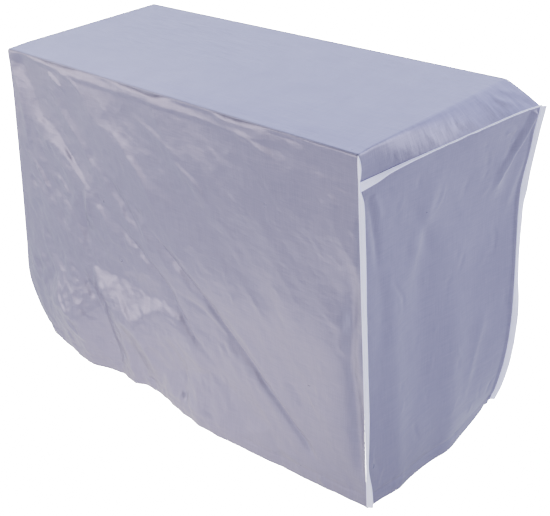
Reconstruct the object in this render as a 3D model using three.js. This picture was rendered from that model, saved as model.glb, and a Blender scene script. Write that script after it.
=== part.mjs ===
// Outdoor air conditioner cover, sewn from silvery coated cloth and hanging from its level top.
//
// Millimetres, +X to the right along the cover, +Y to the back, +Z up. The origin is at the middle
// of the top's underside, where the cover is held up. The cover is hollow and open below.
//
// A body panel runs up the front, over the top and down the back in one cut. An end panel closes
// each end. White tape binds the seams between them. The body panel is wider than the level top,
// so its spare width droops over both ends, and the cover leans out at its lower left corner.
import * as THREE from 'three';
import { mergeVertices } from 'three/addons/utils/BufferGeometryUtils.js';

// Thickness of the cloth and of the folded tape, and the tape's width.
const CLOTH = 2;
const TAPE = 2.2;
const TAPE_WIDTH = 10;

// Room left between sewn pieces: beside an upright seam's front and back, below a top seam, and
// more below its back corner, where the bend into the back dips.
const FRONT_ROOM = 0.8;
const BACK_ROOM = 1.6;
const TOP_ROOM = 2.6;
const CORNER_ROOM = 2;

// The level top, the bend where it turns down into the front and the back, and how far behind the
// front the spare width over an end begins, which leaves room for the seam's gathered corner.
const TOP_LENGTH = 780;
const TOP_DEPTH = 327;
const FOLD_RADIUS = 3;
const CORNER_SLIT = 7;

const HALF = TOP_LENGTH / 2;
const FRONT = -TOP_DEPTH / 2;
const BACK = TOP_DEPTH / 2;
const HALF_BEND = FOLD_RADIUS * (1 - Math.SQRT1_2);

// How far each upright seam stands out past the level top, at depths below the top.
const FRONT_RIGHT_SEAM = [{ down: 0, out: 0 }, { down: 575, out: 2 }];
const FRONT_LEFT_SEAM = [
  { down: 0, out: 0 },
  { down: 73, out: 10 },
  { down: 136, out: 23 },
  { down: 271, out: 51 },
  { down: 401, out: 80 },
  { down: 488, out: 98 },
  { down: 550, out: 81 },
  { down: 585, out: 58 },
];
const BACK_RIGHT_SEAM = [
  { down: 0, out: 58 },
  { down: 31, out: 55 },
  { down: 94, out: 44 },
  { down: 169, out: 33 },
  { down: 374, out: 33 },
  { down: 463, out: 26 },
  { down: 530, out: 12 },
  { down: 575, out: -4 },
];
const BACK_LEFT_SEAM = [
  { down: 0, out: 0 },
  { down: 150, out: 14 },
  { down: 300, out: 32 },
  { down: 480, out: 52 },
  { down: 550, out: 44 },
  { down: 585, out: 32 },
];

// How far below the top each end's top seam hangs, from the front (share 0) to the back (share 1).
const RIGHT_TOP_SEAM = [
  { share: 0, drop: 42 },
  { share: 0.21, drop: 39.5 },
  { share: 0.42, drop: 36 },
  { share: 0.64, drop: 31 },
  { share: 0.87, drop: 26 },
  { share: 1, drop: 27 },
];
const LEFT_TOP_SEAM = [{ share: 0, drop: 42 }, { share: 1, drop: 42 }];

// Depth of each panel's hem below the top, across the panel.
const FRONT_HEM = [
  { share: 0, down: 580 },
  { share: 0.06, down: 588 },
  { share: 0.13, down: 594 },
  { share: 0.27, down: 596 },
  { share: 0.36, down: 590 },
  { share: 0.49, down: 587 },
  { share: 0.79, down: 592 },
  { share: 0.89, down: 584 },
  { share: 1, down: 572 },
];
const BACK_HEM = [
  { share: 0, down: 582 },
  { share: 0.3, down: 593 },
  { share: 0.7, down: 590 },
  { share: 0.93, down: 585 },
  { share: 1, down: 568 },
];
const RIGHT_HEM = [
  { share: 0, down: 574 },
  { share: 0.25, down: 583 },
  { share: 0.57, down: 593 },
  { share: 0.8, down: 591 },
  { share: 0.94, down: 582 },
  { share: 1, down: 568 },
];
const LEFT_HEM = [
  { share: 0, down: 583 },
  { share: 0.5, down: 594 },
  { share: 1, down: 582 },
];

// Main folds: a soft ridge (or a trough, with a height below 0) from one place to another. Places
// are across and down: from the cover's middle on the front and back, from the front on an end.
const FRONT_FOLDS = [
  { across: -347, down: 123, toAcross: -230, toDown: 193, width: 26, height: 6 },
  { across: -149, down: 85, toAcross: -21, toDown: 220, width: 24, height: 7 },
  { across: -161, down: 178, toAcross: -49, toDown: 337, width: 24, height: -6 },
  { across: -35, down: 255, toAcross: 244, toDown: 493, width: 28, height: -8 },
  { across: -230, down: 358, toAcross: -88, toDown: 412, width: 30, height: 11 },
  { across: -88, down: 412, toAcross: -150, toDown: 573, width: 28, height: 10 },
  { across: -46, down: 515, toAcross: 115, toDown: 494, width: 26, height: 9 },
  { across: 366, down: 166, toAcross: 366, toDown: 528, width: 22, height: -5 },
];
const BACK_FOLDS = [
  { across: -210, down: 120, toAcross: -250, toDown: 560, width: 45, height: 7 },
  { across: 40, down: 200, toAcross: 20, toDown: 580, width: 50, height: 8 },
  { across: 250, down: 90, toAcross: 330, toDown: 540, width: 40, height: 7 },
];
const RIGHT_FOLDS = [
  { across: 300, down: 60, toAcross: 232, toDown: 170, width: 22, height: 8 },
  { across: 62, down: 230, toAcross: 70, toDown: 560, width: 26, height: 4 },
  { across: 190, down: 260, toAcross: 200, toDown: 560, width: 34, height: 5 },
];
const LEFT_FOLDS = [
  { across: 110, down: 140, toAcross: 90, toDown: 540, width: 36, height: 6 },
  { across: 230, down: 180, toAcross: 235, toDown: 560, width: 36, height: 6 },
];

// The front's slack: it swells out near the lower left corner.
const FRONT_SWELL = { across: -300, down: 540, wide: 150, high: 190, height: 20 };

// Steps in each piece's grid of cloth.
const ACROSS_STEPS = 36;
const FRONT_STEPS = 26;
const TOP_STEPS = 10;
const BACK_STEPS = 15;
const DROOP_STEPS = 3;
const END_STEPS = { across: 13, down: 24 };
const TAPE_STEPS = 22;

const SILVER_CLOTH = { color: 0x9e9db0, roughness: 0.42, metalness: 0.35 };
const WHITE_TAPE = { color: 0xf2f2fa, roughness: 0.8, metalness: 0 };

const mix = THREE.MathUtils.lerp;
const turn = THREE.MathUtils.degToRad;

// Reads a table as a smooth curve: the value in one column at a place in another.
function read(table, by, at, name) {
  const last = table.length - 1;
  const place = THREE.MathUtils.clamp(at, table[0][by], table[last][by]);
  let row = 0;
  while (row < last - 1 && place > table[row + 1][by]) {
    row += 1;
  }
  const slope = (middle) => {
    const before = table[Math.max(middle - 1, 0)];
    const after = table[Math.min(middle + 1, last)];
    return (after[name] - before[name]) / (after[by] - before[by]);
  };
  const span = table[row + 1][by] - table[row][by];
  const part = (place - table[row][by]) / span;
  const rest = 1 - part;
  return table[row][name] * (1 + 2 * part) * rest * rest
    + table[row + 1][name] * (1 + 2 * rest) * part * part
    + slope(row) * span * part * rest * rest
    - slope(row + 1) * span * part * part * rest;
}

// Height of one fold at a place: a rounded ridge along a line, fading out past its ends.
function foldHeight(fold, across, down) {
  const alongX = fold.toAcross - fold.across;
  const alongZ = fold.toDown - fold.down;
  const length = Math.hypot(alongX, alongZ);
  const run = ((across - fold.across) * alongX + (down - fold.down) * alongZ) / length;
  const past = Math.max(0, -run, run - length);
  const side = ((across - fold.across) * alongZ - (down - fold.down) * alongX) / length;
  return fold.height * Math.exp(-(side * side + past * past) / (fold.width * fold.width));
}

function foldsAt(folds, across, down) {
  return folds.reduce((sum, fold) => sum + foldHeight(fold, across, down), 0);
}

// Fades from 0 at a seam to 1 well inside the panel, so that seams stay where they are sewn.
function clearOfSeams(share) {
  const reach = 0.05;
  return THREE.MathUtils.smoothstep(Math.min(share, 1 - share), 0, reach);
}

// Where an end's top seam runs: how far out, and how far down, at a share of the depth.
function topSeam(end, share) {
  const drop = read(end.topSeam, 'share', share, 'drop');
  const front = read(end.frontSeam, 'down', drop, 'out');
  const back = read(end.backSeam, 'down', drop, 'out');
  return { out: mix(front, back, share), drop };
}

// The two ends of the cover. `droop` bends the body panel's spare width over the end of the top.
const RIGHT_END = {
  side: 1,
  frontSeam: FRONT_RIGHT_SEAM,
  backSeam: BACK_RIGHT_SEAM,
  topSeam: RIGHT_TOP_SEAM,
  hem: RIGHT_HEM,
  folds: RIGHT_FOLDS,
  droop: { frontReach: 12, backReach: 31, drop: 13 },
};
const LEFT_END = {
  side: -1,
  frontSeam: FRONT_LEFT_SEAM,
  backSeam: BACK_LEFT_SEAM,
  topSeam: LEFT_TOP_SEAM,
  hem: LEFT_HEM,
  folds: LEFT_FOLDS,
  droop: { frontReach: 4, backReach: 4, drop: 6 },
};

// Spare width over an end: a curve from the level top's edge (part 0) to the top seam (part 1).
function droopPoint(end, part, y) {
  const share = (y - FRONT) / TOP_DEPTH;
  const seam = topSeam(end, share);
  const bend = mix(end.droop.frontReach, end.droop.backReach, share);
  const curve = new THREE.QuadraticBezierCurve3(
    new THREE.Vector3(end.side * HALF, y, CLOTH),
    new THREE.Vector3(end.side * (HALF + bend), y, CLOTH - end.droop.drop),
    new THREE.Vector3(end.side * (HALF + seam.out), y, CLOTH - seam.drop),
  );
  return curve.getPoint(part);
}

// The body panel's outer face on the front, from the fold (part 0) to the hem (part 1).
function frontPoint(share, part) {
  const down = mix(FOLD_RADIUS, read(FRONT_HEM, 'share', share, 'down'), part);
  const left = -HALF - read(FRONT_LEFT_SEAM, 'down', down, 'out');
  const right = HALF + read(FRONT_RIGHT_SEAM, 'down', down, 'out');
  const across = mix(left, right, share);
  const swell = Math.exp(-(((across - FRONT_SWELL.across) / FRONT_SWELL.wide) ** 2)
    - ((down - FRONT_SWELL.down) / FRONT_SWELL.high) ** 2) * FRONT_SWELL.height;
  const out = (foldsAt(FRONT_FOLDS, across, down) + swell) * clearOfSeams(share);
  return new THREE.Vector3(across, FRONT - out, CLOTH - down);
}

// The body panel's outer face on the back, below the point where a column leaves the top.
function backPoint(column, part) {
  const wholeWidth = TOP_LENGTH + read(BACK_RIGHT_SEAM, 'down', 0, 'out');
  const topShare = TOP_LENGTH / wholeWidth;
  const share = column.zone === 'top' ? column.part * topShare : mix(topShare, 1, column.part);
  const start = topPoint(column, BACK);
  const startDown = CLOTH - start.z;
  const down = mix(startDown + FOLD_RADIUS, read(BACK_HEM, 'share', share, 'down'), part);
  const across = (depth) => mix(
    -HALF - read(BACK_LEFT_SEAM, 'down', depth, 'out'),
    HALF + read(BACK_RIGHT_SEAM, 'down', depth, 'out'),
    share,
  );
  const x = start.x + across(down) - across(startDown);
  const out = foldsAt(BACK_FOLDS, x, down) * clearOfSeams(share);
  return new THREE.Vector3(x, BACK + out, CLOTH - down);
}

// The body panel's outer face on the top: level in the middle, drooping past both ends.
function topPoint(column, y) {
  if (column.zone === 'left') {
    return droopPoint(LEFT_END, 1 - column.part, y);
  }
  if (column.zone === 'right') {
    return droopPoint(RIGHT_END, column.part, y);
  }
  return new THREE.Vector3(mix(-HALF, HALF, column.part), y, CLOTH);
}

// Rows run up the front, over the top and down the back.
function bodyPoint(column, row) {
  if (row.face === 'front') {
    return frontPoint(column.part, row.part);
  }
  if (row.face === 'back') {
    return backPoint(column, row.part);
  }
  const point = topPoint(column, row.y);
  point.z -= row.sink;
  return point;
}

// An end panel's outer face: share 0 is at the front, part 0 at the top seam, part 1 at the hem.
function endPoint(end, share, part) {
  const corner = CORNER_ROOM * THREE.MathUtils.smoothstep(share, 0.9, 1);
  const topDown = topSeam(end, share).drop + TOP_ROOM + corner;
  const down = mix(topDown, read(end.hem, 'share', share, 'down'), part);
  const lean = 1 + 1.6 * THREE.MathUtils.smoothstep(down - topDown, 0, 250);
  const front = read(end.frontSeam, 'down', down, 'out');
  const back = read(end.backSeam, 'down', down, 'out');
  const fold = foldsAt(end.folds, share * TOP_DEPTH, down) * clearOfSeams(share);
  const out = mix(front, back, share ** lean) + fold;
  const y = mix(FRONT + CLOTH + FRONT_ROOM, BACK - CLOTH - BACK_ROOM, share);
  return new THREE.Vector3(end.side * (HALF + out), y, CLOTH - down);
}

// Evenly spaced parts from one end of a stretch to the other.
function parts(steps) {
  return Array.from({ length: steps + 1 }, (_, index) => index / steps);
}

// Makes a closed sheet from a grid of outer points. Cells for which `isCloth` says no are left
// out. The inner face lies a cloth's thickness behind the outer one, and walls join their edges.
function clothGeometry(columns, rows, place, isCloth) {
  const points = columns.map((column) => rows.map((row) => place(column, row)));
  const key = (i, j) => i * rows.length + j;
  const corners = new Map();
  const triangles = [];
  for (let i = 0; i < columns.length - 1; i += 1) {
    for (let j = 0; j < rows.length - 1; j += 1) {
      if (isCloth(i, j)) {
        triangles.push([[i, j], [i + 1, j], [i + 1, j + 1]]);
        triangles.push([[i, j], [i + 1, j + 1], [i, j + 1]]);
      }
    }
  }

  // Each corner's normal is the sum of its triangles' normals.
  const face = new THREE.Triangle();
  for (const triangle of triangles) {
    const normal = new THREE.Vector3();
    face.set(...triangle.map(([i, j]) => points[i][j]));
    face.getNormal(normal);
    for (const [i, j] of triangle) {
      const corner = corners.get(key(i, j)) ?? { point: points[i][j], normal: new THREE.Vector3() };
      corner.normal.add(normal);
      corners.set(key(i, j), corner);
    }
  }

  const positions = [];
  const numbers = new Map();
  for (const [name, corner] of corners) {
    const inner = corner.point.clone().addScaledVector(corner.normal.normalize(), -CLOTH);
    numbers.set(name, positions.length / 3);
    positions.push(...corner.point.toArray(), ...inner.toArray());
  }

  // Outer and inner faces, then a wall on every edge that only one triangle uses.
  const index = [];
  const edges = new Map();
  for (const triangle of triangles) {
    const [a, b, c] = triangle.map(([i, j]) => numbers.get(key(i, j)));
    index.push(a, b, c, a + 1, c + 1, b + 1);
    for (const [from, to] of [[a, b], [b, c], [c, a]]) {
      edges.set(`${from} ${to}`, [from, to]);
    }
  }
  for (const [from, to] of edges.values()) {
    if (!edges.has(`${to} ${from}`)) {
      index.push(to, from, from + 1, to, from + 1, to + 1);
    }
  }

  const geometry = new THREE.BufferGeometry();
  geometry.setAttribute('position', new THREE.Float32BufferAttribute(positions, 3));
  geometry.setIndex(index);
  return geometry;
}

function bodyGeometry() {
  const columns = [
    ...parts(DROOP_STEPS).slice(0, -1).map((part) => ({ zone: 'left', part })),
    ...parts(ACROSS_STEPS).map((part) => ({ zone: 'top', part })),
    ...parts(DROOP_STEPS).slice(1).map((part) => ({ zone: 'right', part })),
  ];
  const topRow = (part) => ({
    face: 'top',
    y: mix(FRONT + CORNER_SLIT, BACK - CORNER_SLIT, part),
    sink: 0,
  });
  const rows = [
    ...parts(FRONT_STEPS).reverse().map((part) => ({ face: 'front', part })),
    { face: 'bend', y: FRONT + HALF_BEND, sink: HALF_BEND },
    { face: 'bend', y: FRONT + FOLD_RADIUS, sink: 0 },
    ...parts(TOP_STEPS).map(topRow),
    { face: 'bend', y: BACK - FOLD_RADIUS, sink: 0 },
    { face: 'bend', y: BACK - HALF_BEND, sink: HALF_BEND },
    ...parts(BACK_STEPS).map((part) => ({ face: 'back', part })),
  ];
  const firstTop = rows.findIndex((row) => row.face === 'top');
  const isCloth = (i, j) => {
    if (i < DROOP_STEPS) {
      return rows[j].face === 'top' && rows[j + 1].face === 'top';
    }
    return i < DROOP_STEPS + ACROSS_STEPS || j >= firstTop;
  };
  return clothGeometry(columns, rows, bodyPoint, isCloth);
}

// An end panel is laid out so that its outer face looks away from the cover.
function endGeometry(end) {
  const shares = parts(END_STEPS.across);
  const columns = end.side > 0 ? shares : shares.reverse();
  const rows = parts(END_STEPS.down).reverse();
  return clothGeometry(columns, rows, (share, part) => endPoint(end, share, part), () => true);
}

// Lays a flat tape along a seam. `layAt(part)` gives the tape's sewn edge, the way its width
// points and how wide it is there. `along` is the seam's own direction.
function tapeGeometry(along, layAt) {
  const geometry = new THREE.BoxGeometry(1, 1, 1, TAPE_STEPS, 1, 1);
  const position = geometry.attributes.position;
  for (let index = 0; index < position.count; index += 1) {
    const { edge, way, width } = layAt(position.getX(index) + 0.5);
    const normal = new THREE.Vector3().crossVectors(along, way);
    edge.addScaledVector(way, width * (position.getY(index) + 0.5));
    edge.addScaledVector(normal, TAPE * position.getZ(index));
    position.setXYZ(index, edge.x, edge.y, edge.z);
  }
  geometry.deleteAttribute('normal');
  geometry.deleteAttribute('uv');
  return mergeVertices(geometry);
}

const UP = new THREE.Vector3(0, 0, 1);
const BACKWARD = new THREE.Vector3(0, 1, 0);

// Upright tapes. `lay` is the angle of the tape's width, from straight out of the cover's end to
// straight back. `width` narrows where the tape is gathered at the top and passes the top tape.
const UPRIGHT_TAPES = {
  binding_right_front: {
    end: RIGHT_END,
    seam: FRONT_RIGHT_SEAM,
    y: FRONT + 1.2,
    away: 1.4,
    lay: [{ down: 3, lay: 45 }, { down: 570, lay: 45 }],
    width: [
      { down: 3, width: 1.6 },
      { down: 20, width: 4.4 },
      { down: 34, width: 1.6 },
      { down: 56, width: 1.6 },
      { down: 66, width: TAPE_WIDTH },
      { down: 570, width: TAPE_WIDTH },
    ],
  },
  binding_right_back: {
    end: RIGHT_END,
    seam: BACK_RIGHT_SEAM,
    y: BACK - 0.6,
    away: 2.2,
    lay: [
      { down: 30, lay: 45 },
      { down: 120, lay: 50 },
      { down: 200, lay: 112 },
      { down: 330, lay: 112 },
      { down: 390, lay: 50 },
      { down: 560, lay: 45 },
    ],
    width: [{ down: 30, width: TAPE_WIDTH }, { down: 558, width: TAPE_WIDTH }],
  },
  binding_left_front: {
    end: LEFT_END,
    seam: FRONT_LEFT_SEAM,
    y: FRONT + 1.6,
    away: 2.6,
    lay: [{ down: 6, lay: 63 }, { down: 580, lay: 63 }],
    width: [{ down: 6, width: 4 }, { down: 60, width: TAPE_WIDTH }, { down: 580, width: TAPE_WIDTH }],
  },
  binding_left_back: {
    end: LEFT_END,
    seam: BACK_LEFT_SEAM,
    y: BACK + 0.35,
    away: 0.35,
    lay: [{ down: 6, lay: 45 }, { down: 578, lay: 45 }],
    width: [{ down: 6, width: 4 }, { down: 60, width: TAPE_WIDTH }, { down: 578, width: TAPE_WIDTH }],
  },
};

function uprightTape(tape) {
  const { end, seam, width } = tape;
  const first = width[0].down;
  const last = width[width.length - 1].down;
  return tapeGeometry(UP, (part) => {
    const down = mix(last, first, part);
    const angle = turn(read(tape.lay, 'down', down, 'lay'));
    const x = end.side * (HALF + read(seam, 'down', down, 'out') + tape.away);
    return {
      edge: new THREE.Vector3(x, tape.y, CLOTH - down),
      way: new THREE.Vector3(end.side * Math.cos(angle), Math.sin(angle), 0),
      width: read(width, 'down', down, 'width'),
    };
  });
}

// Top tapes. `lay` is the angle of the tape's width above straight out; it hangs down at the front
// right corner and turns to stand off the seam towards the back.
const TOP_TAPES = {
  binding_right_top: {
    end: RIGHT_END,
    rows: [
      { share: 0.004, away: 5.2, lay: -76, width: 13 },
      { share: 0.05, away: 4.4, lay: -66, width: 12 },
      { share: 0.12, away: 2.4, lay: -40, width: 11 },
      { share: 0.3, away: 1.8, lay: 36, width: TAPE_WIDTH },
      { share: 0.85, away: 1.8, lay: 30, width: TAPE_WIDTH },
      { share: 0.975, away: 1.8, lay: -20, width: TAPE_WIDTH },
    ],
  },
  binding_left_top: {
    end: LEFT_END,
    rows: [
      { share: 0.05, away: 1.4, lay: -70, width: TAPE_WIDTH },
      { share: 0.95, away: 1.4, lay: -70, width: TAPE_WIDTH },
    ],
  },
};

function topTape({ end, rows }) {
  const first = rows[0].share;
  const last = rows[rows.length - 1].share;
  return tapeGeometry(BACKWARD, (part) => {
    const share = mix(first, last, part);
    const seam = topSeam(end, share);
    const angle = turn(read(rows, 'share', share, 'lay'));
    const x = end.side * (HALF + seam.out + read(rows, 'share', share, 'away'));
    return {
      edge: new THREE.Vector3(x, mix(FRONT, BACK, share), CLOTH - seam.drop),
      way: new THREE.Vector3(end.side * Math.cos(angle), 0, Math.sin(angle)),
      width: read(rows, 'share', share, 'width'),
    };
  });
}

const cover = new THREE.Group();

function addPiece(name, geometry, finish) {
  const piece = new THREE.Mesh(geometry, new THREE.MeshStandardMaterial(finish));
  piece.name = name;
  cover.add(piece);
}

addPiece('body_panel', bodyGeometry(), SILVER_CLOTH);
addPiece('end_panel_right', endGeometry(RIGHT_END), SILVER_CLOTH);
addPiece('end_panel_left', endGeometry(LEFT_END), SILVER_CLOTH);
for (const [name, tape] of Object.entries(UPRIGHT_TAPES)) {
  addPiece(name, uprightTape(tape), WHITE_TAPE);
}
for (const [name, tape] of Object.entries(TOP_TAPES)) {
  addPiece(name, topTape(tape), WHITE_TAPE);
}

export default cover;
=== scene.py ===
# %% [markdown]
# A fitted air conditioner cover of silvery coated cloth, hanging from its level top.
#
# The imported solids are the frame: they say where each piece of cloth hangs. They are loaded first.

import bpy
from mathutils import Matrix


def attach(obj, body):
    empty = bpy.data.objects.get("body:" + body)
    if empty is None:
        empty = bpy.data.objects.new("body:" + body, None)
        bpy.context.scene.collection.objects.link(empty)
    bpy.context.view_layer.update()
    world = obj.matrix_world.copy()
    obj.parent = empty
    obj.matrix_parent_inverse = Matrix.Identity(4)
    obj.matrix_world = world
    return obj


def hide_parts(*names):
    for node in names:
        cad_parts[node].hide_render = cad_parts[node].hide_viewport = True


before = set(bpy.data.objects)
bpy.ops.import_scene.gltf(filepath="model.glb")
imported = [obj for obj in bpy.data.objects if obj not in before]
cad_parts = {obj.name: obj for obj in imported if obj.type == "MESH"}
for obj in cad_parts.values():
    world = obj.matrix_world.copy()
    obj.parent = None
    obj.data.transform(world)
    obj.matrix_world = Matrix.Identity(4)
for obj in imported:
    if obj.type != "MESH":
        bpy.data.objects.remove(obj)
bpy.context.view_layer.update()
print("solids:", sorted(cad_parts))

# %% Modules
import math

import bpy
import numpy as np
from mathutils import Matrix, Vector
from mathutils.geometry import delaunay_2d_cdt

# %% [markdown]
# The camera stands to the right of the cover and a little above it, as a photographer would stand
# to show the front, the top and one end. Its place was worked out from the corners of the level
# top. It comes first, because everything after it is judged through it.

# %% Camera
CAMERA_PLACE = (1.0802, -0.9707, 0.4635)
CAMERA_RIGHT = (0.7147, 0.6964, -0.0647)
CAMERA_UP = (-0.3027, 0.3914, 0.8690)
CAMERA_BACK = (0.6306, -0.6015, 0.4905)
SENSOR_WIDTH = 36
LENS = 62.51

camera = bpy.data.objects.new("camera", bpy.data.cameras.new("camera"))
camera.data.sensor_width = SENSOR_WIDTH
camera.data.lens = LENS
turned = Matrix((CAMERA_RIGHT, CAMERA_UP, CAMERA_BACK)).transposed().to_4x4()
camera.matrix_world = Matrix.Translation(CAMERA_PLACE) @ turned
bpy.context.scene.collection.objects.link(camera)
bpy.context.scene.camera = camera
print("camera at", CAMERA_PLACE, "with a lens of", LENS, "mm")

# %% [markdown]
# The cover's sizes are the maker's: the level top, and how far each upright seam stands out below
# it. All of them are in millimetres, because a sewing pattern is, and become metres only when a
# mesh is made. Each table is read as a smooth curve, like a dressmaker's curve through marks.

# %% Sizes of the level top and of the cloth
MM = 0.001
HALF_LENGTH = 390
FRONT = -163.5
BACK = 163.5
TOP_LEVEL = 2
FOLD_RADIUS = 3
HEM = 25
print("level top:", 2 * HALF_LENGTH, "x", BACK - FRONT, "mm")

# %% How far the upright seams stand out, by depth below the top
FRONT_RIGHT_SEAM = [(0, 0), (575, 2)]
FRONT_LEFT_SEAM = [(0, 0), (73, 10), (136, 23), (271, 51), (401, 80), (488, 98), (550, 81), (585, 58)]
BACK_RIGHT_SEAM = [(0, 58), (31, 55), (94, 44), (169, 33), (374, 33), (463, 26), (530, 12), (575, -4)]
BACK_LEFT_SEAM = [(0, 0), (150, 14), (300, 32), (480, 52), (550, 44), (585, 32)]
print("the front's left seam ends", FRONT_LEFT_SEAM[-1][0], "mm down")

# %% How far the top seams hang below the top, by share of the depth
RIGHT_TOP_SEAM = [(0, 38), (.1, 36), (.21, 34), (.42, 31), (.64, 28), (.87, 25), (1, 26.5)]
LEFT_TOP_SEAM = [(0, 42), (1, 42)]
print("the right droop hangs", RIGHT_TOP_SEAM[0][1], "mm at its front")

# %% Depth of each panel's hem below the top, by share of its width
FRONT_HEM = [(0, 580), (.06, 588), (.13, 594), (.27, 596), (.36, 590), (.49, 587), (.79, 592),
             (.89, 584), (1, 572)]
BACK_HEM = [(0, 582), (.3, 593), (.7, 590), (.93, 585), (1, 568)]
RIGHT_HEM = [(0, 574), (.25, 583), (.57, 593), (.8, 591), (.94, 582), (1, 568)]
LEFT_HEM = [(0, 583), (.5, 594), (1, 582)]
print("the front is", max(depth for _, depth in FRONT_HEM), "mm long at its longest")


# %% Read a table as a smooth curve
def read(table, at):
    """A smooth curve through the table's marks, level before the first and after the last."""
    places, values = np.array(table, float).T
    last = len(places) - 1
    middle = np.arange(last + 1)
    before = np.maximum(middle - 1, 0)
    after = np.minimum(middle + 1, last)
    slopes = (values[after] - values[before]) / (places[after] - places[before])
    at = np.clip(at, places[0], places[-1])
    row = np.clip(np.searchsorted(places, at) - 1, 0, last - 1)
    span = places[row + 1] - places[row]
    part = (at - places[row]) / span
    rest = 1 - part
    return (values[row] * (1 + 2 * part) * rest ** 2
            + values[row + 1] * (1 + 2 * rest) * part ** 2
            + slopes[row] * span * part * rest ** 2
            - slopes[row + 1] * span * part ** 2 * rest)


def mix(start, end, part):
    return start + (end - start) * part


def smooth(part):
    part = np.clip(part, 0, 1)
    return part * part * (3 - 2 * part)


print("left corner leans out", round(float(read(FRONT_LEFT_SEAM, 488)), 1), "mm at its widest")

# %% [markdown]
# Creases in coated cloth are soft troughs and ridges with one steep side and one slack side. A
# simulation would put them wherever it likes, so each one is laid as a path, the way a sculptor
# draws folds in clay: how wide it is on either hand as one walks along it, how high it stands, how
# sharp its crest is, and over what share of its length each end fades out.


# %% The height of one crease
# A point of FACET gives a crease flat sides, with a sharp foot and a slightly rounded crest. Past
# CREASE_REACH widths no crease stands high enough to see.
FACET = 0
CREST = .18
CREASE_REACH = 3


def crease(path, left, right, height, point=1.6, fade=(.3, .3)):
    return {"path": path, "left": left, "right": right, "height": height, "point": point,
            "fade": fade}


def smooth_path(path, steps=5):
    marks = np.arange(len(path))
    places = np.linspace(0, len(path) - 1, (len(path) - 1) * steps + 1)
    columns = np.array(path, float).T
    return np.stack([read(list(zip(marks, column)), places) for column in columns], 1)


def crease_height(fold, across, down):
    path = smooth_path(fold["path"])
    reach = CREASE_REACH * max(fold["left"], fold["right"])
    low = path.min(0) - reach
    high = path.max(0) + reach
    height = np.zeros_like(across)
    near = (across > low[0]) & (across < high[0]) & (down > low[1]) & (down < high[1])
    if not near.any():
        return height
    spots = np.stack([across[near], down[near]], 1)
    nearest = np.full(len(spots), np.inf)
    side = np.zeros(len(spots))
    walked = np.zeros(len(spots))
    steps = np.diff(path, axis=0)
    lengths = np.hypot(*steps.T)
    for start, step, length, before in zip(path, steps, lengths, np.cumsum(lengths) - lengths):
        offset = spots - start
        part = np.clip(offset @ step / length ** 2, 0, 1)
        distance = np.hypot(*(offset - part[:, None] * step).T)
        closer = distance < nearest
        nearest[closer] = distance[closer]
        side[closer] = (step[0] * offset[:, 1] - step[1] * offset[:, 0])[closer]
        walked[closer] = (before + part * length)[closer]
    width = np.where(side > 0, fold["right"], fold["left"])
    away = nearest / width
    if fold["point"] == FACET:
        profile = np.clip(1 + CREST - np.sqrt(away ** 2 + CREST ** 2), 0, None)
    else:
        profile = np.exp(-away ** fold["point"])
    along = walked / lengths.sum()
    for end, fade in zip((along, 1 - along), fold["fade"]):
        if fade:
            profile *= smooth(end / fade)
    height[near] = fold["height"] * profile
    return height


def creases_at(creases, across, down):
    return sum(crease_height(fold, across, down) for fold in creases)


print("a crease fades out within", CREASE_REACH, "of its widths")


# %% [markdown]
# Between the main creases the cloth is never flat. A few long waves and many short, shallow
# crumples with a fixed seed stand for the handling it has had: folded in a bag, shaken out, pulled
# down over the corners. Most of them run the way the cloth is pulled.

# %% Soft unevenness and small crumples
CREASE_SEED = 27
rng = np.random.default_rng(CREASE_SEED)


def uneven(across, down, size, waves=7, shortest=70, longest=230):
    height = np.zeros_like(across)
    for _ in range(waves):
        length = rng.uniform(shortest, longest)
        angle = rng.uniform(0, math.pi)
        phase = rng.uniform(0, 2 * math.pi)
        run = across * math.cos(angle) + down * math.sin(angle)
        height = height + np.sin(2 * math.pi * run / length + phase)
    return height * size / math.sqrt(waves)


# A crumple bows a little, has a steep and a slack side, and fades out towards both ends.
CRUMPLE = {"bow": .15, "steep": (.6, 1.1), "slack": (1.2, 3.2), "height": (.35, 1), "fade": (.45, .45)}


def crumples(count, box, angles, lengths, height, width=4):
    rows = []
    for _ in range(count):
        across = rng.uniform(box[0], box[1])
        down = rng.uniform(box[2], box[3])
        angle = math.radians(rng.uniform(*angles))
        length = rng.uniform(*lengths)
        bow = rng.uniform(-CRUMPLE["bow"], CRUMPLE["bow"]) * length
        step = (math.cos(angle) * length / 2, math.sin(angle) * length / 2)
        path = [(across - step[0], down - step[1]),
                (across - math.sin(angle) * bow, down + math.cos(angle) * bow),
                (across + step[0], down + step[1])]
        steep = rng.uniform(*CRUMPLE["steep"]) * width
        slack = steep * rng.uniform(*CRUMPLE["slack"])
        stands = rng.uniform(*CRUMPLE["height"]) * height * rng.choice([-1, 1])
        rows.append(crease(path, steep, slack, stands, rng.choice([FACET, 1.6]), CRUMPLE["fade"]))
    return rows


# The lattice's middle column lies at the middle of the cloth, and a few rows lie above its top.
LATTICE = 80
ROWS_ABOVE = 5


def lattice_noise(across, down, grain):
    """Smooth random heights from -1 to 1, given at the crossings of a lattice `grain` mm apart."""
    marks = rng.uniform(-1, 1, (LATTICE, LATTICE))
    u = across / grain + LATTICE // 2
    v = down / grain + ROWS_ABOVE
    i = np.floor(u).astype(int) % (LATTICE - 1)
    j = np.floor(v).astype(int) % (LATTICE - 1)
    u = smooth(u - np.floor(u))
    v = smooth(v - np.floor(v))
    above = mix(marks[i, j], marks[i + 1, j], u)
    below = mix(marks[i, j + 1], marks[i + 1, j + 1], u)
    return mix(above, below, v)


# Each octave of the crinkle is this much finer and lower than the one before. Its ridges are drawn
# out along the pull, which slants down to the right.
FINER = .52
LOWER = .56
DRAWN_OUT = .55
PULL = math.radians(52)


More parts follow.
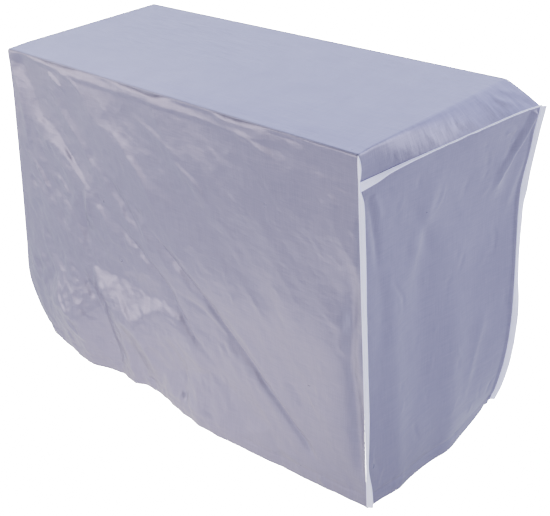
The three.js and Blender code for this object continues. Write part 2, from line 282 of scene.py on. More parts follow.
def crinkle(across, down, size, grain=46, octaves=4, slant=PULL):
    """Creased paper's look: ridges where smooth noise crosses zero, finer with each octave."""
    along = across * math.cos(slant) + down * math.sin(slant)
    aside = down * math.cos(slant) - across * math.sin(slant)
    height = np.zeros_like(across)
    for _ in range(octaves):
        height = height + size * (.5 - np.abs(lattice_noise(along * DRAWN_OUT, aside, grain)))
        grain = grain * FINER
        size = size * LOWER
    return height


print("random draws start from seed", CREASE_SEED)

# %% [markdown]
# The front shows nearly every crease of the cover, because the cloth was pulled down over the top
# left corner: the folds start there and run down to the right. They could be sculpted by brush. As
# paths on the flat cloth they can be measured off, moved by a millimetre, and read by the next maker.


# %% Main creases of the front, in millimetres across from the middle and down from the top
FRONT_CREASES = [
    # The cloth stands a little proud just below the top edge, and steps back at a thin dark line.
    crease([(-386, 6), (-293, 9), (-223, 14), (-156, 17), (-91, 18), (-30, 16), (27, 18), (82, 20),
            (134, 21), (184, 23), (259, 23), (319, 24)], 9, 2.6, 1.7, 1.6, (.1, .3)),
    crease([(90, 5), (150, 9), (240, 11), (330, 13)], 6, 2.6, .8, 1.8),
    # Drag folds from the top left corner down to the right, one long soft valley among them.
    crease([(-380, 3), (-364, 27), (-344, 59), (-328, 103), (-302, 124), (-260, 155), (-226, 189),
            (-188, 222), (-150, 256)], 62, 14, -6, 1.6, (.08, .55)),
    crease([(-196, 216), (-150, 252), (-87, 294), (-43, 326)], 30, 12, -2, 1.6),
    crease([(-386, 30), (-376, 100), (-384, 190)], 8, 12, 2.6, 1.6),
    crease([(-304, 40), (-262, 92), (-206, 140), (-150, 196), (-92, 246)], 20, 14, 1.8, 1.6),
    crease([(-344, 120), (-316, 120), (-296, 127), (-278, 146), (-248, 183), (-220, 194)], 4, 20,
           1.6, FACET, (.15, .35)),
    crease([(-162, 84), (-109, 92), (-84, 120), (-50, 158), (-22, 228)], 5, 15, 2.2, 1.4),
    crease([(20, 98), (60, 114), (86, 132), (103, 161)], 4, 14, 2, FACET),
    crease([(100, 158), (131, 180), (168, 211)], 5, 12, .9, 1.6),
    crease([(-70, 48), (-20, 62), (30, 84), (66, 92)], 5, 12, 1.8, 1.5),
    crease([(102, 55), (125, 69), (152, 88)], 5, 12, .9, 1.6),
    crease([(169, 18), (188, 22), (206, 28), (228, 35), (252, 43)], 3.5, 8, 1.7, FACET),
    crease([(185, 15), (263, 16), (330, 17)], 2.5, 5, .8, 1.5),
    crease([(-282, 18), (-250, 35), (-232, 49)], 3.5, 7, 2.2, FACET),
    crease([(-246, 12), (-209, 21), (-190, 34)], 3.5, 7, 1.8, FACET),
    crease([(-371, 201), (-338, 260)], 6, 9, 2.8, FACET),
    crease([(-308, 212), (-270, 250)], 6, 10, 2.4, 1.5),
    crease([(-226, 200), (-240, 279), (-241, 332), (-231, 366)], 7, 9, -3, 1.6),
    crease([(-214, 208), (-220, 250), (-226, 300)], 5, 7, 2.2, 1.5),
    # Crisp valleys in the middle of the front.
    crease([(-165, 248), (-109, 280), (-70, 308), (-29, 342), (22, 409), (88, 460)], 3.5, 7, -4, 1.5),
    crease([(-161, 172), (-103, 231), (-68, 272)], 8, 14, -4, 1.7),
    crease([(-70, 232), (-50, 251), (12, 294), (70, 338), (126, 386), (184, 431), (254, 494),
            (300, 538)], 4, 9, -6.4, 1.5, (.2, .1)),
    crease([(-30, 236), (20, 277), (70, 318), (124, 352), (176, 396), (220, 440)], 12, 5, 1.6, 1.6),
    crease([(-17, 343), (66, 362), (145, 420)], 4, 6, -1.8, 1.6),
    # Folds of the flared corner.
    crease([(-362, 404), (-384, 480), (-386, 540)], 12, 14, -3, 1.8),
    crease([(-400, 430), (-412, 480)], 7, 9, 2, 1.6),
    crease([(-330, 500), (-306, 524), (-266, 540)], 4, 7, 2.6, FACET),
    crease([(-342, 545), (-318, 572)], 4, 8, 2.4, FACET),
    crease([(-345, 430), (-338, 470), (-306, 500)], 4, 6, 2, FACET),
    # The trough beside the right seam, and shallow drapes above the hem.
    crease([(376, 150), (371, 240), (370, 324), (377, 429), (385, 530)], 10, 11, -5.5, 1.9, (.2, .1)),
    crease([(300, 120), (322, 260), (330, 420), (318, 560)], 30, 34, 2.4, 2),
    crease([(200, 90), (244, 230), (262, 400)], 34, 30, 2.2, 2),
    crease([(30, 360), (36, 470), (20, 594)], 26, 30, 2.4, 2, (.4, 0)),
    crease([(180, 500), (196, 594)], 24, 20, 2.4, 2, (.4, 0)),
    crease([(200, 548), (232, 556), (262, 552)], 8, 8, 2, 1.6),
]
FRONT_SWELL = {"across": -300, "down": 540, "wide": 150, "high": 190, "height": 18}

# %% Short crumples of the front
FRONT_CRUMPLES = (
    crumples(70, (-370, 370, 24, 150), (25, 65), (14, 50), .8, 3)
    + crumples(90, (-400, -60, 150, 420), (30, 75), (20, 70), 1.3, 3.5)
    + crumples(110, (-460, 100, 400, 590), (20, 120), (12, 50), 1.8, 4)
    + crumples(60, (-60, 380, 200, 590), (35, 85), (20, 70), 1.2, 4)
)
print(len(FRONT_CREASES), "main creases and", len(FRONT_CRUMPLES), "crumples on the front")

# %% [markdown]
# Low on the left the slack gathers, and the cloth breaks into flat facets between sharp bends, as
# coated cloth does that has been pressed. They are laid as a few points with heights, joined along
# the bends, and the cloth is stretched flat between them.

# %% Facets of the lower left, in millimetres across, down and out
FACET_CHAINS = [
    # Where the facets end and the plain front begins.
    [(-520, 400, 0), (-480, 360, 0), (-400, 350, 0), (-330, 346, 0), (-280, 352, 0), (-233, 366, -2),
     (-195, 374, 0), (-136, 370, 0), (-103, 375, 0), (-84, 383, 1), (-40, 372, 0), (20, 394, 0),
     (80, 430, 0), (150, 456, 0), (200, 520, 0), (220, 630, 0)],
    # A light facet above the flared corner.
    [(-346, 419, 1), (-291, 390, 0)],
    [(-433, 501, 2), (-407, 586, 2), (-400, 630, 1)],
    [(-344, 486, 18), (-295, 500, 20), (-268, 546, 11), (-262, 630, 5)],
    # The valley between it and the bright facet, on down to the hem.
    [(-236, 400, -2), (-228, 440, -6), (-210, 490, -8), (-200, 540, -8), (-194, 630, -5)],
    # The bright facet's left edge and low bend.
    [(-222, 386, 2), (-205, 408, 8), (-176, 430, 15), (-163, 455, 19), (-146, 451, 19),
     (-122, 438, 18), (-80, 410, 13), (-58, 396, 9), (-32, 398, 7), (-7, 434, 6), (49, 474, 2)],
    # A crisp ridge runs from its tip to the hem, with a narrow valley and a strip beside it.
    [(-158, 494, 13), (-154, 540, 9), (-144, 630, 6)],
    [(-142, 482, 9), (-134, 530, 2), (-126, 630, 1)],
    [(-110, 462, 17), (-90, 508, 13), (-76, 570, 7), (-74, 630, 4)],
    # A long lens of slack above the hem.
    [(-58, 518, 3), (-7, 502, 1), (35, 485, 0), (67, 474, 0), (120, 488, 0), (146, 516, 0)],
    [(-33, 558, 16), (37, 562, 22), (87, 566, 21), (123, 570, 14)],
    [(-36, 630, 11), (38, 630, 17), (90, 630, 15), (140, 630, 7)],
]


# The bends are rounded by spreading the heights this many times.
BEND_ROUNDING = 3


def facet_heights(chains, across, down):
    """Stretches flat triangles between the chains' points, and rounds their bends a little."""
    points = [point for chain in chains for point in chain]
    bends = []
    first = 0
    for chain in chains:
        bends += [(first + step, first + step + 1) for step in range(len(chain) - 1)]
        first += len(chain)
    flat = [Vector(point[:2]) for point in points]
    places, _, triangles, origins, _, _ = delaunay_2d_cdt(flat, bends, [], 0, 1e-5)
    height = np.zeros_like(across)
    for triangle in triangles:
        a, b, c = (np.array(points[origins[corner][0]], float) for corner in triangle)
        area = (b[0] - a[0]) * (c[1] - a[1]) - (b[1] - a[1]) * (c[0] - a[0])
        to_b = ((across - a[0]) * (c[1] - a[1]) - (down - a[1]) * (c[0] - a[0])) / area
        to_c = ((b[0] - a[0]) * (down - a[1]) - (b[1] - a[1]) * (across - a[0])) / area
        inside = (to_b >= 0) & (to_c >= 0) & (to_b + to_c <= 1)
        height[inside] = (a[2] + to_b * (b[2] - a[2]) + to_c * (c[2] - a[2]))[inside]
    for _ in range(BEND_ROUNDING):
        padded = np.pad(height, 1, mode="edge")
        height = (padded[:-2, 1:-1] + padded[2:, 1:-1] + padded[1:-1, :-2] + padded[1:-1, 2:]
                  + 2 * padded[1:-1, 1:-1]) / 6
    return height


print(sum(len(chain) for chain in FACET_CHAINS), "facet points")


# %% [markdown]
# The body panel is one cut: up the front, over the top and down the back. It is wider than the
# level top, so its spare width droops over both ends. Here are the three stretches of it, each as a
# function that says where a point of the flat cloth hangs.


# %% The front of the body panel
# Near its edges the cloth is held by stitches or by a fold, so its relief fades out there. All of
# these are distances from the edge in millimetres.
TOP_EDGE = 1.5
FRONT_FADE = {"swell": 42, "seam": 7, "top": 5}


def edge_fade(distance, reach):
    return smooth(distance / reach)


def front_cloth(share, down, inset=0):
    left = -HALF_LENGTH - read(FRONT_LEFT_SEAM, down)
    right = HALF_LENGTH + read(FRONT_RIGHT_SEAM, down)
    across = mix(left, right, share)
    from_seam = np.minimum(across - left, right - across)
    swell = FRONT_SWELL["height"] * np.exp(
        -((across - FRONT_SWELL["across"]) / FRONT_SWELL["wide"]) ** 2
        - ((down - FRONT_SWELL["down"]) / FRONT_SWELL["high"]) ** 2)
    held = edge_fade(from_seam, FRONT_FADE["seam"]) * edge_fade(down - TOP_EDGE, FRONT_FADE["top"])
    out = swell * edge_fade(from_seam, FRONT_FADE["swell"]) + FRONT_RELIEF(across, down) * held
    return np.stack([across, FRONT - out + inset, TOP_LEVEL - down], -1)


# The chart's points lie CHART_STEP mm apart. The crinkle fades from its middle to a quarter.
CHART_STEP = 2.0
CHART_ACROSS = (-500, 501)
CHART_DOWN = (-60, 621)
CRINKLE_REACH = 300
CRINKLE_LEAST = .25


def relief_of(creases, size, crinkled=0, most_crinkled=(0, 0), facets=None):
    """A relief is measured once on a fine chart of the cloth, then read back anywhere on it."""
    across = np.arange(*CHART_ACROSS, CHART_STEP)
    down = np.arange(*CHART_DOWN, CHART_STEP)
    wide, deep = np.meshgrid(across, down, indexing="ij")
    far = np.hypot(wide - most_crinkled[0], deep - most_crinkled[1])
    chart = creases_at(creases, wide, deep) + uneven(wide, deep, size)
    near = np.exp(-(far / CRINKLE_REACH) ** 2)
    chart += crinkle(wide, deep, crinkled) * (CRINKLE_LEAST + (1 - CRINKLE_LEAST) * near)
    if facets:
        chart += facet_heights(facets, wide, deep)

    def relief(at_across, at_down):
        column = np.clip((at_across - across[0]) / CHART_STEP, 0, len(across) - 1.001)
        row = np.clip((at_down - down[0]) / CHART_STEP, 0, len(down) - 1.001)
        i = column.astype(int)
        j = row.astype(int)
        u = column - i
        v = row - j
        return (chart[i, j] * (1 - u) * (1 - v) + chart[i + 1, j] * u * (1 - v)
                + chart[i, j + 1] * (1 - u) * v + chart[i + 1, j + 1] * u * v)

    return relief


FRONT_RELIEF = relief_of(FRONT_CREASES + FRONT_CRUMPLES, 1.3, 4.2, (-200, 470), FACET_CHAINS)
deepest_fold = float(FRONT_RELIEF(*np.meshgrid(np.arange(-380, 380, 4), np.arange(20, 560, 4))).min())
print("the front's deepest fold goes in", round(-deepest_fold, 1), "mm")


# %% The spare width that droops over an end
# `bend` holds the two pull points of the droop's curve, each out and up from the level top's edge,
# at the front (share 0) and at the back (share 1).
RIGHT_DROOP = {"side": 1, "top": RIGHT_TOP_SEAM, "front": FRONT_RIGHT_SEAM, "back": BACK_RIGHT_SEAM,
               "bend": [(0, 3, -2, 2, -22), (1, 20, -6, 38, -16)]}
LEFT_DROOP = {"side": -1, "top": LEFT_TOP_SEAM, "front": FRONT_LEFT_SEAM, "back": BACK_LEFT_SEAM,
              "bend": [(0, 4, -1, 5, -14), (1, 4, -1, 5, -14)]}

# Creases of the droop, in millimetres back from the front and outward from the level top. They fade
# out DROOP_FADE mm before the seam.
DROOP_FADE = 8
DROOP_CREASES = [
    crease([(8, 8), (40, 13), (85, 12), (124, 6)], 8, 16, -1.1, 1.9, (.2, .3)),
    crease([(120, 14), (130, 26), (140, 46)], 5, 6, .8, FACET, (.45, .3)),
    crease([(138, 18), (150, 46)], 5, 6, .6, 1.5, (.45, .3)),
    crease([(168, 22), (184, 36), (192, 50)], 7, 7, -.5, 1.7, (.45, .3)),
    crease([(200, 22), (214, 48)], 5, 7, .6, FACET, (.45, .3)),
    crease([(228, 12), (246, 40)], 6, 7, -.5, 1.6),
    crease([(262, 12), (292, 44)], 5, 7, .9, FACET),
    crease([(284, 8), (322, 34)], 4, 6, .8, 1.5),
] + crumples(24, (20, 327, 6, 52), (30, 95), (10, 32), .35, 3)


def seam_end(end, share):
    drop = read(end["top"], share)
    return mix(read(end["front"], drop), read(end["back"], drop), share), drop


def droop_cloth(end, part, y):
    share = (y - FRONT) / (BACK - FRONT)
    out, drop = seam_end(end, share)
    x1, z1, x2, z2 = (mix(*pair, share) for pair in zip(end["bend"][0][1:], end["bend"][1][1:]))
    rest = 1 - part
    x = 3 * rest ** 2 * part * x1 + 3 * rest * part ** 2 * x2 + part ** 3 * out
    z = 3 * rest ** 2 * part * z1 + 3 * rest * part ** 2 * z2 - part ** 3 * drop
    x_slope = rest ** 2 * x1 + 2 * rest * part * (x2 - x1) + part ** 2 * (out - x2)
    z_slope = rest ** 2 * z1 + 2 * rest * part * (z2 - z1) + part ** 2 * (-drop - z2)
    length = np.hypot(x_slope, z_slope)
    spare = np.hypot(out, drop)
    height = creases_at(DROOP_CREASES, y - FRONT, part * spare) * edge_fade(rest * spare, DROOP_FADE)
    x = x - z_slope / length * height
    z = z + x_slope / length * height
    return np.stack([end["side"] * (HALF_LENGTH + x), y + 0 * x, TOP_LEVEL + z], -1)


print(len(DROOP_CREASES), "creases on the droop")

# %% The back of the body panel
BACK_CREASES = [
    crease([(-210, 120), (-232, 330), (-250, 596)], 40, 48, 7, 1.9, (.3, 0)),
    crease([(40, 200), (26, 400), (20, 596)], 46, 52, 8, 1.9, (.3, 0)),
    crease([(250, 90), (300, 320), (330, 560)], 36, 44, 7, 1.9, (.3, .1)),
    crease([(-360, 20), (-300, 110), (-250, 190)], 14, 20, 3, 1.6),
    crease([(360, 24), (330, 110), (290, 200)], 12, 20, 3.5, 1.5),
    crease([(-120, 60), (-60, 180), (-40, 300)], 12, 18, -3, 1.7),
    crease([(120, 260), (150, 400), (210, 520)], 12, 16, -4, 1.8),
]
BACK_CRUMPLES = crumples(90, (-400, 400, 20, 590), (40, 120), (20, 80), 1)
BACK_RELIEF = relief_of(BACK_CREASES + BACK_CRUMPLES, 1.2, .8)
BACK_FADE = {"seam": 12, "top": 8}
WHOLE_WIDTH = 2 * HALF_LENGTH + BACK_RIGHT_SEAM[0][1]


def back_cloth(start, share, down, inset=0):
    start_down = TOP_LEVEL - start[..., 2]

    def across(depth):
        left = -HALF_LENGTH - read(BACK_LEFT_SEAM, depth)
        return mix(left, HALF_LENGTH + read(BACK_RIGHT_SEAM, depth), share)

    x = start[..., 0] + across(down) - across(start_down)
    from_seam = np.minimum(share, 1 - share) * WHOLE_WIDTH
    below_fold = down - start_down - TOP_EDGE
    held = edge_fade(from_seam, BACK_FADE["seam"]) * edge_fade(below_fold, BACK_FADE["top"])
    out = BACK_RELIEF(x, down) * held
    return np.stack([x, BACK + out - inset, TOP_LEVEL - down], -1)


print("the back is", WHOLE_WIDTH, "mm wide along its top")

# %% [markdown]
# A sheet of cloth is made as a grid of points, one quad between each four, and nothing else: cloth
# has no thickness that the eye can see from a step away. Only where the hem is turned up does a
# second layer show, so the grid really turns round there. Its flat coordinates go along, in metres
# of cut cloth, so that the weave keeps its size in every fold.


# %% Grid to mesh
def sheet_mesh(name, places, flat, is_cloth):
    columns, rows = places.shape[:2]
    numbers = np.arange(columns * rows).reshape(columns, rows)
    quads = np.stack([numbers[:-1, :-1], numbers[1:, :-1], numbers[1:, 1:], numbers[:-1, 1:]], -1)
    quads = quads[is_cloth]
    used, quads = np.unique(quads, return_inverse=True)
    quads = quads.reshape(-1, 4)
    mesh = bpy.data.meshes.new(name)
    mesh.from_pydata((places.reshape(-1, 3)[used] * MM).tolist(), [], quads.tolist())
    cut = mesh.uv_layers.new(name="cut_cloth")
    cut.data.foreach_set("uv", (flat.reshape(-1, 2)[used][quads.ravel()] * MM).ravel())
    mesh.polygons.foreach_set("use_smooth", np.ones(len(quads), bool))
    mesh.update()
    piece = bpy.data.objects.new(name, mesh)
    bpy.context.scene.collection.objects.link(piece)
    print(name, len(quads), "quads")
    return piece


# %% Rows of the turned hem: how far above the fold, and how far inside the outer face
HEM_ROWS = [(HEM, 1.2), (HEM * .75, 1.3), (HEM * .5, 1.3), (HEM * .25, 1.3), (1.5, 1.3), (.3, 1.1),
            (-.2, .6)]
# The hem is stitched STITCH_LINE mm from its raw edge, which draws the outer face in along a
# shallow groove.
STITCH_LINE = 3
HEM_GROOVE = 1.1
GROOVE_WIDTH = 3.2


def hem_groove(above):
    return HEM_GROOVE * np.exp(-((above - (HEM - STITCH_LINE)) / GROOVE_WIDTH) ** 2)


print("hem:", HEM, "mm deep, stitched", HEM - STITCH_LINE, "mm above its fold")

# %% The body panel
# The grid is finest on the front, where the photographer's view shows the small creases.
STEPS = {"across": 256, "droop": 18, "left": 6, "front": 192, "top": 74, "back": 44}
PANEL_LENGTH = 600
FOLD_ANGLES = (22.5, 45, 67.5)

left_parts = 1 - np.arange(STEPS["left"]) / STEPS["left"]
top_parts = np.linspace(0, 1, STEPS["across"] + 1)
right_parts = np.arange(1, STEPS["droop"] + 1) / STEPS["droop"]
total_columns = len(left_parts) + len(top_parts) + len(right_parts)
first_top_column = len(left_parts)
first_droop_column = first_top_column + len(top_parts)


# The top rises a little behind its front edge, and less towards the droop.
CROWN = {"height": 1.6, "reach": 40, "inset": 6, "fade": 34}


def top_row(y, sink):
    left = droop_cloth(LEFT_DROOP, left_parts, np.full(len(left_parts), y))
    x = mix(-HALF_LENGTH, HALF_LENGTH, top_parts)
    level = np.stack([x, np.full_like(x, y), np.full_like(x, TOP_LEVEL)], -1)
    right = droop_cloth(RIGHT_DROOP, right_parts, np.full(len(right_parts), y))
    row = np.concatenate([left, level, right])
    crown = CROWN["height"] * smooth((y - FRONT - FOLD_RADIUS) / CROWN["reach"])
    row[:, 2] += crown * smooth(1 - (row[:, 0] - HALF_LENGTH + CROWN["inset"]) / CROWN["fade"]) - sink
    return row


body_rows = []
body_flat = []
body_faces = []


def add_row(face, places, along):
    """Adds a row of points, with flat coordinates that follow the cloth round the droop."""
    across = places[:, 0].copy()
    if face == "top":
        past = np.maximum(np.abs(across) - HALF_LENGTH, 0)
        drooped = HALF_LENGTH + np.hypot(past, TOP_LEVEL - places[:, 2])
        across = np.where(past > 0, np.sign(across) * drooped, across)
    body_rows.append(places)
    body_flat.append(np.stack([across, np.broadcast_to(along, across.shape)], -1))
    body_faces.append(face)


def spread_front(front):
    """The front is only as wide as the level top, so the droop's columns are left empty there."""
    row = np.zeros((total_columns, 3))
    row[first_top_column:first_droop_column] = front
    return row


def add_fold_row(angle, edge, inward):
    """One row round the fold at the top's front or back edge, `angle` degrees up from upright."""
    turned = math.radians(angle)
    turned_in = FOLD_RADIUS * (1 - math.cos(turned))
    sink = FOLD_RADIUS * (1 - math.sin(turned))
    add_row("top", top_row(edge + inward * turned_in, sink), edge)


front_hem = read(FRONT_HEM, top_parts)
for above, inside in HEM_ROWS:
    add_row("front", spread_front(front_cloth(top_parts, front_hem - above, inside)),
            FRONT - PANEL_LENGTH - HEM + above)
for part in np.linspace(1, 0, STEPS["front"] + 1):
    down = mix(FOLD_RADIUS, front_hem, part)
    groove = hem_groove(front_hem - down)
    add_row("front", spread_front(front_cloth(top_parts, down, groove)), FRONT - PANEL_LENGTH * part)
for angle in FOLD_ANGLES:
    add_fold_row(angle, FRONT, 1)
for y in np.linspace(FRONT + FOLD_RADIUS, BACK - FOLD_RADIUS, STEPS["top"] + 1):
    add_row("top", top_row(y, 0), y)
for angle in reversed(FOLD_ANGLES):
    add_fold_row(angle, BACK, -1)

back_start = top_row(BACK, 0)
top_share = 2 * HALF_LENGTH / WHOLE_WIDTH
back_share = np.concatenate([np.zeros(len(left_parts)), top_parts * top_share,
                             mix(top_share, 1, right_parts)])
back_hem = read(BACK_HEM, back_share)
back_top = TOP_LEVEL - back_start[:, 2] + FOLD_RADIUS
for part in np.linspace(0, 1, STEPS["back"] + 1):
    down = mix(back_top, back_hem, part)
    add_row("back", back_cloth(back_start, back_share, down, hem_groove(back_hem - down)),
            BACK + PANEL_LENGTH * part)
for above, inside in reversed(HEM_ROWS):
    add_row("back", back_cloth(back_start, back_share, back_hem - above, inside),
            BACK + PANEL_LENGTH + HEM - above)

body_faces = np.array(body_faces)
over_top = (body_faces[:-1] == "top") & (body_faces[1:] == "top")
past_front = body_faces[:-1] != "front"
cell_column = np.arange(total_columns - 1)
is_left = cell_column < first_top_column
is_right = cell_column >= first_droop_column - 1
is_cloth = np.where(is_left[:, None], over_top, np.where(is_right[:, None], past_front, True))
body_panel = sheet_mesh("body_cloth", np.stack(body_rows, 1), np.stack(body_flat, 1), is_cloth)

# %% [markdown]
# An end panel closes each end. It hangs from the top seam and follows the two upright seams, so it
# leans out where they do. Its steep bright fold comes from the back corner, where the drooping top
# pulls it out.

# %% Creases of the end panels, in millimetres back from the front and down from the top
RIGHT_CREASES = [
    crease([(322, 34), (314, 53), (304, 72), (291, 90), (276, 116), (258, 150)], 5, 12, 4.4, FACET,
           (.02, .4)),
    crease([(320, 60), (316, 96), (308, 140), (296, 200)], 10, 12, 2.2, 1.7),
    crease([(292, 48), (280, 76), (266, 108)], 10, 8, -1.6, 1.7, (.1, .4)),
    crease([(276, 60), (272, 104), (270, 160)], 10, 10, 1.8, 1.8),
    crease([(14, 58), (22, 84), (27, 108), (33, 140), (34, 190)], 6, 7, -3, 1.7, (.1, .4)),
    crease([(22, 60), (31, 80), (40, 108)], 6, 8, 1.6, 1.7, (.1, .4)),
    crease([(86, 96), (117, 134), (150, 210)], 12, 14, -1.8, 1.8),
    crease([(62, 210), (66, 380), (72, 590)], 24, 28, 4.5, 1.9, (.3, 0)),
    crease([(196, 250), (198, 420), (202, 590)], 34, 30, 5.5, 1.9, (.3, 0)),
    crease([(130, 120), (128, 300), (134, 480)], 26, 26, -3, 1.9),
    crease([(262, 53), (276, 51), (290, 56)], 3, 4, 1.6, FACET),
    crease([(282, 66), (286, 72)], 3, 4, 1.2, 1.5),
    crease([(30, 160), (44, 230), (40, 330)], 12, 16, -2.2, 1.8),
    crease([(150, 60), (120, 160), (96, 240)], 12, 18, 2, 1.8),
    crease([(270, 330), (246, 430), (240, 500)], 10, 14, 2.2, 1.6),
]
LEFT_CREASES = [
    crease([(110, 140), (98, 340), (90, 590)], 34, 40, 6, 1.9, (.3, 0)),
    crease([(230, 180), (234, 380), (236, 590)], 34, 40, 6, 1.9, (.3, 0)),
    crease([(30, 60), (70, 160), (80, 260)], 12, 18, 3, 1.6),
    crease([(300, 60), (270, 180), (250, 260)], 12, 18, 3, 1.6),
]


# The cloth rolls out beside the back seam before it dips into the stitches. Further down it hangs
# nearer to the front seam's line than to the back's.
SEAM_ROLL = {"height": 2.6, "from_seam": 5, "width": 2.6, "fade": 60}
LEAN = {"most": 1.6, "depth": 250}
SEAM_INSET = 1.2
END_FADE = {"seam": 6, "top": 5}
TOP_GAP = .4


def end_cloth(end, hem, relief, share, down, inset=0):
    top_drop = seam_end(end, share)[1]
    below = down - top_drop
    lean = 1 + LEAN["most"] * smooth(below / LEAN["depth"])
    out = mix(read(end["front"], down), read(end["back"], down), share ** lean)
    y = mix(FRONT + SEAM_INSET, BACK - SEAM_INSET, share)
    from_seam = np.minimum(share, 1 - share) * (BACK - FRONT)
    held = edge_fade(from_seam, END_FADE["seam"]) * edge_fade(below, END_FADE["top"])
    roll = SEAM_ROLL["height"] * np.exp(-((BACK - y - SEAM_ROLL["from_seam"]) / SEAM_ROLL["width"]) ** 2)
    fold = relief(y - FRONT, down) * held + roll * edge_fade(below, SEAM_ROLL["fade"])
    return np.stack([end["side"] * (HALF_LENGTH + out + fold - inset), y, TOP_LEVEL - down], -1)


# The grid's columns crowd this much towards the seams, where the cloth bends most.
CROWDING = .5


def end_panel(name, end, hem_table, creases, columns, rows):
    relief = relief_of(creases, 1, .7)
    even = np.linspace(0, 1, columns + 1)
    share = even - CROWDING * np.sin(2 * math.pi * even) / (2 * math.pi)
    hem = read(hem_table, share)
    start = seam_end(end, share)[1] + TOP_GAP
    places = []
    flat = []
    for part in np.linspace(0, 1, rows + 1):
        down = mix(start, hem, part)
        places.append(end_cloth(end, hem, relief, share, down, hem_groove(hem - down)))
        flat.append(down)
    for above, inside in reversed(HEM_ROWS):
        places.append(end_cloth(end, hem, relief, share, hem - above, inside))
        flat.append(hem + HEM - above)
    places = np.stack(places, 1)
    flat = np.stack([places[..., 1], -np.stack(flat, 1)], -1)
    if end["side"] > 0:
        places = places[::-1]
        flat = flat[::-1]
    everywhere = np.ones((columns, places.shape[1] - 1), bool)
    return sheet_mesh(name, places, flat, everywhere), relief


right_small = crumples(60, (10, 320, 50, 590), (60, 125), (20, 70), .9)
left_small = crumples(30, (10, 320, 50, 590), (60, 125), (20, 70), .9)
right_panel, RIGHT_RELIEF = end_panel("right_end_cloth", RIGHT_DROOP, RIGHT_HEM,
                                      RIGHT_CREASES + right_small, 156, 216)
left_panel, LEFT_RELIEF = end_panel("left_end_cloth", LEFT_DROOP, LEFT_HEM,
                                    LEFT_CREASES + left_small, 84, 130)

# %% [markdown]
# The seams are bound: a white tape is folded round both raw edges and stitched down, so it stands
# off the corner like a fin. Each tape is a flattened tube that follows its seam. Its outer fold is
# round, it is pinched along the stitches, and it wavers a little, as tape does when it is fed
# through a binder by hand.


# %% Tape section: across the tape's width as shares, and its half thickness in millimetres
# Where the tape is narrower than NARROW mm, it is thinner too.
TAPE_SECTION = [(-.08, .5), (.1, .72), (.28, .5), (.45, .85), (.7, .95), (.88, .85), (.97, .5)]
TAPE_WIDTH = 10
NARROW = 4


def tape_mesh(name, edge, way, width, along):
    count = len(edge)
    run = np.concatenate([[0], np.cumsum(np.linalg.norm(np.diff(edge, axis=0), axis=1))])
    normal = np.cross(along, way)
    normal /= np.linalg.norm(normal, axis=1)[:, None]
    waver = uneven(run, run * 0, .35, shortest=18, longest=70)
    plump = 1 + uneven(run, run * 0, .08, shortest=9, longest=40)
    section = TAPE_SECTION + [(1, 0)] + [(share, -half) for share, half in TAPE_SECTION[::-1]]
    ring = []
    for share, half in section:
        side = half * np.minimum(1, width / NARROW) * plump + waver * max(share, 0)
        ring.append(edge + way * (share * width)[:, None] + normal * side[:, None])
    ring.append(ring[0])
    places = np.stack(ring, 0)
    flat = np.zeros(places.shape[:2] + (2,))
    flat[..., 0] = np.linspace(0, 2 * TAPE_WIDTH, len(ring))[:, None]
    flat[..., 1] = run[None, :]
    return sheet_mesh(name, places, flat, np.ones((len(ring) - 1, count - 1), bool))


# %% [markdown]
# Each stitch is a short plump stretch of thread that dips into the cloth at both ends. A row of
# them is one mesh: the same small spindle set down again and again along the seam.

# %% Stitches
# The spindle is given as places along the stitch from its middle and thicknesses, both as shares.
STITCH = {"length": 2.8, "gap": 1.0, "radius": .28, "dip": .6, "sides": 5}
SPINDLE = [(-.5, .15), (-.3, .8), (0, 1), (.3, .8), (.5, .15)]


def stitch_row(places, normals):
    """Points and quads of one row of stitches along a line of places."""
    run = np.concatenate([[0], np.cumsum(np.linalg.norm(np.diff(places, axis=0), axis=1))])
    points = []
    quads = []
    pitch = STITCH["length"] + STITCH["gap"]
    sides = STITCH["sides"]
    for start in np.arange(pitch / 2, run[-1] - pitch, pitch):
        at = [np.interp(start + STITCH["length"] * end, run, axis)
              for end in (0, 1) for axis in places.T]
        head, tail = np.array(at[:3]), np.array(at[3:])
        normal = np.array([np.interp(start, run, axis) for axis in normals.T])
        length = tail - head
        side = np.cross(length, normal)
        side /= np.linalg.norm(side)
        first = len(points)
        for share, plump in SPINDLE:
            centre = mix(head, tail, share + .5) + normal * (plump - STITCH["dip"]) * STITCH["radius"]
            for turn in range(sides):
                angle = 2 * math.pi * turn / sides
                spoke = side * math.cos(angle) + normal * math.sin(angle)
                points.append(centre + spoke * plump * STITCH["radius"])
        for ring in range(len(SPINDLE) - 1):
            for turn in range(sides):
                a = first + ring * sides + turn
                b = first + ring * sides + (turn + 1) % sides
                quads.append((a, b, b + sides, a + sides))
    return points, quads


def stitches(name, rows):
    points = []
    quads = []
    for places, normals in rows:
        row_points, row_quads = stitch_row(places, normals)
        quads += [tuple(corner + len(points) for corner in quad) for quad in row_quads]
        points += row_points
    mesh = bpy.data.meshes.new(name)
    mesh.from_pydata((np.array(points) * MM).tolist(), [], quads)
    mesh.polygons.foreach_set("use_smooth", np.ones(len(quads), bool))
    piece = bpy.data.objects.new(name, mesh)
    bpy.context.scene.collection.objects.link(piece)
    print(name, len(quads), "quads")
    return piece


